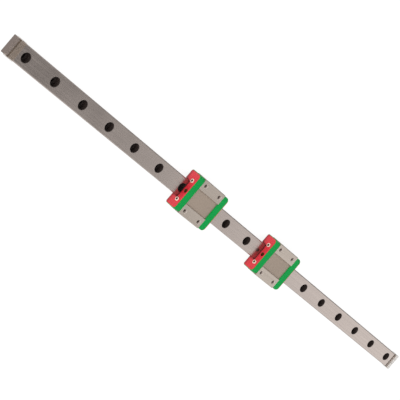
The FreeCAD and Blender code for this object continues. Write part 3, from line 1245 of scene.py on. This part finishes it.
@dataclass
class BearingBlock:
    """The steel block of a carriage: two ground pads, a sunk strip and four tapped holes."""

    guideway: Guideway
    chamfer: float = 0.45
    end_chamfer: float = 0.12
    corner_chamfer: float = 0.35
    strip_half: float = 6.2
    strip_depth: float = 0.9
    strip_slope: float = 0.35
    strip_wall_shade: float = 0.25
    tapped_x: float = 15.0
    tapped_y: float = 20.0
    tapped_depth: float = 3.5
    tapped_steps: int = 36
    countersink: float = 0.3
    drill_tip: float = 0.6
    thread_radius: float = 1.5
    core_radius: float = 1.25
    thread_pitch: float = 0.5
    thread_bite: float = 0.02
    ridge_share: float = 0.45
    thread_steps: int = 24
    mouth_light: float = 0.8
    lit_turns: float = 2.2

    def on_strip_wall(self, co: Vector, box: NodeBox) -> bool:
        """Whether a point lies on a sloping wall of the sunk strip."""
        low = self.strip_half - self.strip_slope - MERGE
        return low < abs(co.y) < self.strip_half + MERGE and co.z > box.high.z - self.strip_depth - MERGE

    def build(self, node: str) -> Workpiece:
        """Shape the block.

        Args:
            node: the block's node, which gives its place.

        Returns:
            The workpiece.
        """
        box = NodeBox.of(node)
        half = box.high.y
        work = Workpiece()
        foot = (self.guideway.half_width + self.guideway.block_gap, box.low.z)
        self.guideway.block_flank(work.pen(box.low.x, foot))
        work.pen(box.low.x, foot).line(
            (half - self.chamfer, box.low.z),
            (half, box.low.z + self.chamfer),
            (half, box.high.z - self.chamfer),
            (half - self.chamfer, box.high.z),
            (self.strip_half, box.high.z),
            (self.strip_half - self.strip_slope, box.high.z - self.strip_depth),
            (0.0, box.high.z - self.strip_depth),
        )
        work.draw_out(work.close_mirrored(), box.size.x)
        for x in (box.low.x, box.high.x):
            brow = work.edges_where(lambda co: co.z > box.high.z - MERGE and abs(co.x - x) < MERGE)
            work.bevel(brow, self.end_chamfer)
            corners = work.edges_where(lambda co: abs(co.y) > half - MERGE and abs(co.x - x) < MERGE)
            work.bevel(corners, self.corner_chamfer)
        pads = work.faces_where(lambda co: co.z > box.high.z - MERGE)
        self.tap(work, box, pads)
        # painted shade on the strip's sloping walls
        strip_walls = work.faces_where(lambda co: self.on_strip_wall(co, box))
        work.mark(strip_walls, Zone.BORE, self.strip_wall_shade)
        work.mark(work.faces_where(lambda co: co.z > box.high.z - self.chamfer - MERGE), Zone.PAD)
        return work

    def tap(self, work: Workpiece, box: NodeBox, pads: list[BMFace]) -> None:
        """Drill, countersink and thread the mounting holes.

        Args:
            work: the shaped block.
            box: the block's box.
            pads: the two ground pads.
        """
        mouth_radius = self.core_radius + self.countersink
        lead_in = self.thread_pitch / 4
        strokes = [
            (self.thread_radius, lead_in),
            (self.thread_radius, self.tapped_depth - self.countersink),
        ]
        for pad in pads:
            y = math.copysign(self.tapped_y / 2, pad.calc_center_median().y)
            places = (box.centre.x - self.tapped_x / 2, box.centre.x + self.tapped_x / 2)
            centres = [Vector((x, y, box.high.z)) for x in places]
            for rim in work.pierce([pad], centres, mouth_radius, UP, self.tapped_steps):
                mouth = rim.centre.copy()
                # painted light on the countersink, painted shade down the hole
                work.sink(rim, -UP, [(self.core_radius, self.countersink)], Zone.RIM, self.mouth_light)
                work.sink(rim, -UP, strokes, Zone.BORE)
                work.close_rim(rim, Zone.BORE, -self.drill_tip * UP)
                self.thread(work, mouth)

    def thread(self, work: Workpiece, mouth: Vector) -> None:
        """Wind the thread's ridge inside a hole.

        Args:
            work: the drilled block.
            mouth: centre of the hole's mouth.
        """
        turns = math.floor((self.tapped_depth - 2 * self.countersink) / self.thread_pitch) - 1
        root = self.thread_radius + self.thread_bite
        low = self.thread_pitch / 2 - self.tapped_depth
        half_ridge = self.ridge_share * self.thread_pitch
        profile = ((root, low - half_ridge), (self.core_radius, low), (root, low + half_ridge))
        made = [
            bmesh.ops.create_vert(work.bm, co=mouth + Vector((radius, 0, height)))["vert"][0]
            for radius, height in profile
        ]
        section = bmesh.ops.contextual_create(work.bm, geom=made)["faces"]
        before = set(work.bm.faces)
        bmesh.ops.spin(
            work.bm,
            geom=section,
            cent=mouth,
            axis=UP,
            dvec=(0, 0, self.thread_pitch / self.thread_steps),
            angle=2 * math.pi * turns,
            steps=self.thread_steps * turns,
        )
        ridge = [face for face in work.bm.faces if face not in before]
        # upper turns take painted light, deeper turns painted shade
        lit_from = mouth.z - self.countersink - self.lit_turns * self.thread_pitch
        lit = [face for face in ridge if face.calc_center_median().z > lit_from]
        work.mark(ridge, Zone.BORE)
        work.mark(lit, Zone.BORE, 0.0)
        work.mark(lit, Zone.RIM, self.mouth_light)


@dataclass
class EndPiece:
    """A moulded cap, its seal and the seal's screws, at one end of a carriage."""

    guideway: Guideway
    crown_radius: float = 2.5
    crown_steps: int = 10
    foot_chamfer: float = 0.5
    cap_gap: float = 0.3
    cap_round: float = 0.2
    seal_inset: float = 0.35
    seal_round: float = 0.25
    round_steps: int = 3
    grease_radius: float = 1.25
    grease_height: float = 10.8
    grease_depth: float = 2.5
    grease_fill: float = 1.5
    grease_mouth: float = 0.2
    grease_steps: int = 32
    head_steps: int = 40
    head_round: float = 0.2
    head_round_steps: int = 4
    socket_flats: float = 1.6
    socket_depth: float = 0.4
    socket_tip: float = 0.3

    def draw(self, work: Workpiece, x: float, box: NodeBox, gap: float, crown: float) -> BMFace:
        """Draw the moulded section with the rail's opening.

        Args:
            work: workpiece to draw on.
            x: plane of the drawing.
            box: box of the piece.
            gap: gap to the rail.
            crown: radius of the upper corners.

        Returns:
            The face.
        """
        half, top, low = box.high.y, box.high.z, box.low.z
        foot = (self.guideway.half_width + gap, low)
        self.guideway.rail_flank(work.pen(x, foot), gap)
        outline = work.pen(x, foot)
        outline.line((half - self.foot_chamfer, low), (half, low + self.foot_chamfer), (half, top - crown))
        outline.arc((half - crown, top - crown), math.pi / 2, self.crown_steps)
        outline.line((0.0, top))
        return work.close_mirrored()

    def open_grease_hole(self, work: Workpiece, x: float, radius: float, way: Vector) -> RimLoop:
        """Cut the grease hole's rim in the flat faces across one place along X.

        Args:
            work: a shaped cap or seal.
            x: place of the faces.
            radius: radius of the rim.
            way: unit vector into the hole.

        Returns:
            The rim.
        """
        faces = work.faces_where(lambda co: abs(co.x - x) < MERGE)
        centre = Vector((x, 0, self.grease_height))
        return work.pierce(faces, [centre], radius, way, self.grease_steps)[0]

    def build_cap(self, node: str, end: End) -> Workpiece:
        """Shape a cap with the grease hole that its seal leaves open.

        Args:
            node: the cap's node.
            end: end of the carriage.

        Returns:
            The workpiece.
        """
        box = NodeBox.of(node)
        inner, outer = box.span(end)
        way = Vector((-end.value, 0, 0))
        work = Workpiece()
        work.draw_out(self.draw(work, inner, box, self.cap_gap, self.crown_radius), outer - inner)
        shoulder = box.high.z - self.crown_radius
        brow = work.edges_where(lambda co: abs(co.x - outer) < MERGE and co.z > shoulder - MERGE)
        work.bevel(brow, self.cap_round, self.round_steps)
        rim = self.open_grease_hole(work, outer, self.grease_radius, way)
        work.sink(rim, way, [(self.grease_radius, self.grease_depth - self.grease_fill)], Zone.BORE)
        work.close_rim(rim, Zone.BORE)
        return work

    def build_seal(self, node: str, end: End) -> Workpiece:
        """Shape a seal plate with its grease hole.

        Args:
            node: the seal's node.
            end: end of the carriage.

        Returns:
            The workpiece.
        """
        box = NodeBox.of(node)
        inner, outer = box.span(end)
        way = Vector((-end.value, 0, 0))
        work = Workpiece()
        crown = self.crown_radius - self.seal_inset
        work.draw_out(self.draw(work, inner, box, SEAL_GAP, crown), outer - inner)
        side = self.guideway.half_width + SEAL_GAP
        crest = self.guideway.top + SEAL_GAP
        border = work.edges_where(lambda co: abs(co.x - outer) < MERGE)
        lip = work.edges_where(lambda co: abs(co.y) < side + MERGE and co.z < crest + MERGE)
        work.bevel([edge for edge in border if edge not in lip], self.seal_round, self.round_steps)
        rim = self.open_grease_hole(work, outer, self.grease_radius + self.grease_mouth, way)
        self.open_grease_hole(work, inner, self.grease_radius, way)
        strokes = [(self.grease_radius, self.grease_mouth), (self.grease_radius, box.size.x)]
        work.sink(rim, way, strokes, Zone.BORE)
        return work

    def build_screw(self, node: str, end: End) -> Workpiece:
        """Shape a screw head with its hexagon socket.

        Args:
            node: the screw's node.
            end: end of the carriage.

        Returns:
            The workpiece.
        """
        box = NodeBox.of(node)
        seat, crest = box.span(end)
        out = Vector((end.value, 0, 0))
        turn = out.to_track_quat("Z", "Y").to_matrix().to_4x4()
        place = Matrix.Translation((seat, box.centre.y, box.centre.z)) @ turn
        radius = box.size.y / 2
        steps = self.head_steps
        work = Workpiece()
        bmesh.ops.create_circle(work.bm, cap_ends=True, radius=radius, segments=steps, matrix=place)
        work.draw_out(next(iter(work.bm.faces)), crest - seat)
        rim_edges = work.edges_where(lambda co: abs(co.x - crest) < MERGE)
        work.bevel(rim_edges, self.head_round, self.head_round_steps)
        top = work.faces_where(lambda co: abs(co.x - crest) < MERGE)
        corner = self.socket_flats / math.sqrt(3)
        centre = Vector((crest, box.centre.y, box.centre.z))
        rim = work.pierce(top, [centre], corner, out, HEXAGON)[0]
        work.sink(rim, -out, [(corner, self.socket_depth)], Zone.BORE)
        work.close_rim(rim, Zone.BORE, -self.socket_tip * corner * out)
        return work


@dataclass
class Carriage:
    """One ball carriage: block, two caps, two seals and four seal screws."""

    name: str
    block: BearingBlock
    end_piece: EndPiece

    def dress(self, finishes: Finishes) -> None:
        """Build the carriage's pieces and set them in the frame.

        Args:
            finishes: materials by slot.
        """
        node = self.name + "_block"
        self.hand_over(self.block.build(node), node, Slot.BLOCK, finishes)
        for end in End:
            tail = "_" + end.name.lower()
            cap = self.name + "_end_cap" + tail
            seal = self.name + "_end_seal" + tail
            self.hand_over(self.end_piece.build_cap(cap, end), cap, Slot.CAP, finishes)
            self.hand_over(self.end_piece.build_seal(seal, end), seal, Slot.SEAL, finishes)
            for side in Side:
                screw = self.name + "_seal_screw" + tail + "_" + side.name.lower()
                self.hand_over(self.end_piece.build_screw(screw, end), screw, Slot.SCREW, finishes)

    def hand_over(self, work: Workpiece, node: str, slot: Slot, finishes: Finishes) -> None:
        """Set a piece on this carriage's body."""
        work.hand_over(node, self.name, slot, finishes.materials[slot])


@dataclass(frozen=True)
class PhotoCamera:
    """The photograph's camera, in metres and radians, with its lens and sensor in millimetres."""

    place: Place = (-0.63541, 0.01323, 0.61488)
    target: Place = (-0.04399, 0.001115, 0.008)
    roll: float = 2.29318
    lens: float = 122.226
    sensor: float = 36.0

    def set_up(self) -> None:
        """Make the camera and look through it."""
        data = bpy.data.cameras.new("photo_camera")
        data.lens = self.lens
        data.sensor_width = self.sensor
        camera = bpy.data.objects.new("photo_camera", data)
        bpy.context.scene.collection.objects.link(camera)
        place = Vector(self.place)
        ahead = (Vector(self.target) - place).normalized()
        right = ahead.cross(UP).normalized()
        above = right.cross(ahead)
        turn = Matrix((right, above, -ahead)).transposed().to_4x4()
        camera.matrix_world = Matrix.Translation(place) @ turn @ Matrix.Rotation(self.roll, 4, "Z")
        bpy.context.scene.camera = camera


@dataclass(frozen=True)
class SoftLamp:
    """A square soft lamp that faces the part and doesn't show in its reflections."""

    name: str
    place: Place
    size: float
    power: float

    def set_up(self) -> None:
        """Make the lamp."""
        data = bpy.data.lights.new(self.name, "AREA")
        data.size = self.size
        data.energy = self.power
        lamp = bpy.data.objects.new(self.name, data)
        bpy.context.scene.collection.objects.link(lamp)
        place = Vector(self.place)
        turn = place.to_track_quat("Z", "Y").to_matrix().to_4x4()
        lamp.matrix_world = Matrix.Translation(place) @ turn
        lamp.visible_glossy = False


@dataclass
class Studio:
    """White floor, soft lamps, a room that the steel reflects, and the camera."""

    floor_half: float = 6.0  # metres
    floor_drop: float = 0.05  # millimetres
    floor_shade: float = 0.8
    floor_glow: float = 0.88
    shadow_shade: float = 0.22
    glow_fade: float = 0.5  # millimetres
    wall_light: float = 0.25
    ceiling_light: float = 0.95
    dark_way: Place = (0.86, 0.50, 0.0)
    dark_depth: float = 0.95
    dark_reach: Range = (0.80, 0.92)
    dark_heights: Range = (0.2, 0.45)
    room_stops: tuple[tuple[float, float], ...] = (  # height of a direction and the light from there
        (0.30, 1.0),
        (0.58, 1.78),
        (0.68, 1.33),
        (0.74, 0.89),
        (0.80, 0.28),
        (0.88, 0.21),
        (0.97, 1.05),
    )
    camera: PhotoCamera = field(default_factory=PhotoCamera)
    lamps: tuple[SoftLamp, ...] = (
        SoftLamp("key_lamp", place=(-3.2, -1.4, 2.4), size=2.4, power=88.0),
        SoftLamp("fill_lamp", place=(1.6, 2.8, 3.4), size=2.6, power=26.0),
    )

    def set_up(self) -> None:
        """Make the studio."""
        bpy.context.scene.view_settings.view_transform = "Standard"
        self.lay_floor()
        self.light_room()
        for lamp in self.lamps:
            lamp.set_up()
        self.camera.set_up()

    @staticmethod
    def end_tree(bench: Bench, output: str, cast: bpy.types.Node, shown: bpy.types.Node) -> None:
        """End a tree with one shader for the light it casts and one for the rays that show it.

        Args:
            bench: bench on the tree.
            output: type of the output node.
            cast: shader for the light on the part.
            shown: shader for camera, glossy and transmission rays.
        """
        path = bench.add("ShaderNodeLightPath")
        seen = bench.math("MAXIMUM", path.outputs["Is Camera Ray"], path.outputs["Is Glossy Ray"])
        seen = bench.math("MAXIMUM", seen, path.outputs["Is Transmission Ray"])
        pick = bench.wire("ShaderNodeMixShader", {0: seen, 1: cast.outputs[0], 2: shown.outputs[0]})
        bench.wire(output, {"Surface": pick.outputs[0]})

    def lay_floor(self) -> None:
        """Lay a white floor that keeps the part's shadow."""
        bm = bmesh.new()
        bmesh.ops.create_grid(bm, x_segments=1, y_segments=1, size=self.floor_half)
        bmesh.ops.translate(bm, verts=bm.verts[:], vec=-self.floor_drop * MM * UP)
        mesh = bpy.data.meshes.new("studio_floor")
        bm.to_mesh(mesh)
        bm.free()
        floor = bpy.data.objects.new("studio_floor", mesh)
        bpy.context.scene.collection.objects.link(floor)
        material = bpy.data.materials.new("white_floor")
        material.use_nodes = True
        material.node_tree.nodes.clear()
        bench = Bench(material.node_tree)
        matte = bench.wire("ShaderNodeBsdfDiffuse", {"Color": grey(self.floor_shade)})
        faint = bench.wire("ShaderNodeBsdfDiffuse", {"Color": grey(self.shadow_shade)})
        glow = bench.wire("ShaderNodeEmission", {"Strength": self.open_floor(bench)})
        white = bench.wire("ShaderNodeAddShader", {0: glow.outputs[0], 1: faint.outputs[0]})
        self.end_tree(bench, "ShaderNodeOutputMaterial", matte, white)
        mesh.materials.append(material)

    def open_floor(self, bench: Bench) -> bpy.types.NodeSocket:
        """The floor's glow, which ends under the rail, so that the rail's bolt holes stay dark.

        Args:
            bench: bench on the floor's tree.

        Returns:
            The strength of the glow.
        """
        reach = NodeBox.of("rail").high * MM
        place = bench.parts(bench.add("ShaderNodeTexCoord").outputs["Object"])
        beyond = bench.math("SUBTRACT", bench.math("ABSOLUTE", place.outputs["X"]), reach.x)
        beside = bench.math("SUBTRACT", bench.math("ABSOLUTE", place.outputs["Y"]), reach.y)
        away = bench.math("MAXIMUM", beyond, beside)
        return bench.spread(away, (-self.glow_fade * MM, 0.0), (0.0, self.floor_glow))

    def light_room(self) -> None:
        """Light the room, which the camera sees as white."""
        world = bpy.data.worlds.new("studio_room")
        bpy.context.scene.world = world
        world.use_nodes = True
        world.node_tree.nodes.clear()
        bench = Bench(world.node_tree)
        way = bench.add("ShaderNodeTexCoord").outputs["Generated"]
        height = bench.parts(way).outputs["Z"]
        camera_ray = bench.add("ShaderNodeLightPath").outputs["Is Camera Ray"]
        shown = bench.blend(camera_ray, self.reflected_room(bench, way, height), grey(1.0))
        seen = bench.wire("ShaderNodeBackground", {"Color": shown})
        lift = bench.vary(height, (self.wall_light, self.ceiling_light))
        soft = bench.wire("ShaderNodeBackground", {"Strength": lift})
        self.end_tree(bench, "ShaderNodeOutputWorld", soft, seen)

    def reflected_room(
        self, bench: Bench, way: bpy.types.NodeSocket, height: bpy.types.NodeSocket
    ) -> bpy.types.NodeSocket:
        """The room in reflections: bright walls, a dark band above them, a pale top and one dark corner.

        Args:
            bench: bench on the world's tree.
            way: direction of a ray.
            height: Z of that direction.

        Returns:
            The room's light.
        """
        ramp = bench.wire("ShaderNodeValToRGB", {0: height})
        elements = ramp.color_ramp.elements
        while len(elements) < len(self.room_stops):
            elements.new(1.0)
        for element, (place, light) in zip(elements, self.room_stops):
            element.position = place
            element.color = grey(light)
        near = bench.vector("DOT_PRODUCT", way, Vector(self.dark_way).normalized())
        dark = bench.spread(near.outputs["Value"], self.dark_reach, (0.0, self.dark_depth))
        low = bench.spread(height, self.dark_heights, (1.0, 0.0))
        return bench.blend(bench.math("MULTIPLY", dark, low), ramp.outputs[0], grey(0.0))


def main() -> None:
    """Build, dress and light the rail."""
    logging.basicConfig(level=logging.INFO, format="%(name)s: %(message)s")
    guideway = Guideway()
    finishes = Finishes(Effects(guideway))
    finishes.mix()
    Rail(guideway).dress(finishes)
    EndStop(guideway, "rail_end_stop_left", End.FRONT).dress(finishes)
    EndStop(guideway, "rail_end_stop_right", End.REAR).dress(finishes)
    for name in ("carriage_1", "carriage_2"):
        Carriage(name, BearingBlock(guideway), EndPiece(guideway)).dress(finishes)
    Studio().set_up()


if __name__ == "__main__":
    main()
